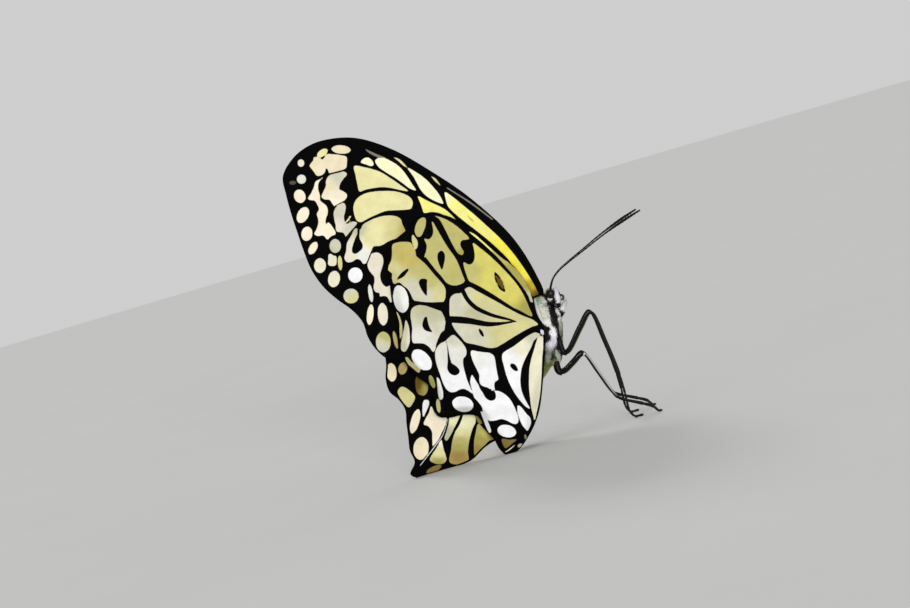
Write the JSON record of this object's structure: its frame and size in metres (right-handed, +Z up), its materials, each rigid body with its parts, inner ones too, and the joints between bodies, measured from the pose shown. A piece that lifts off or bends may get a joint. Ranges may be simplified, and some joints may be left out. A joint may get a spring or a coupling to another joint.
{
  "type": "paper kite butterfly",
  "caption": "Life-size paper kite butterfly at rest, wings closed over its back, standing on its walking legs and the lower edges of its hindwings.",
  "frame": {"origin": "on the floor, under the middle of the box of the whole insect", "axes": "+Z up, +X towards the feet and the belly side, +Y to the insect's left, across the closed wings"},
  "size_m": [0.0766, 0.0162, 0.0809],
  "materials": {
    "forewing": "scaled membrane, cream and yellow cells between black veins",
    "hindwing": "scaled membrane, white and cream cells between black veins",
    "body_hair": "black hair with white tufts",
    "abdomen_scales": "pale flat scales with a dark back",
    "chitin": "black, softly shining",
    "eye": "dark brown facets"
  },
  "bodies": {
    "root": {"head": "body_hair", "thorax": "body_hair", "abdomen": "abdomen_scales", "proboscis": "chitin", "eye_right": "eye", "eye_left": "eye", "palp_right": "body_hair", "palp_left": "body_hair", "antenna_right": "chitin", "antenna_left": "chitin", "wing_fore_right": "forewing", "wing_fore_left": "forewing", "wing_hind_right": "hindwing", "wing_hind_left": "hindwing", "leg_fore_right": "body_hair", "leg_fore_left": "body_hair", "leg_mid_right": "chitin", "leg_mid_left": "chitin", "leg_hind_right": "chitin", "leg_hind_left": "chitin"}
  },
  "joints": []
}
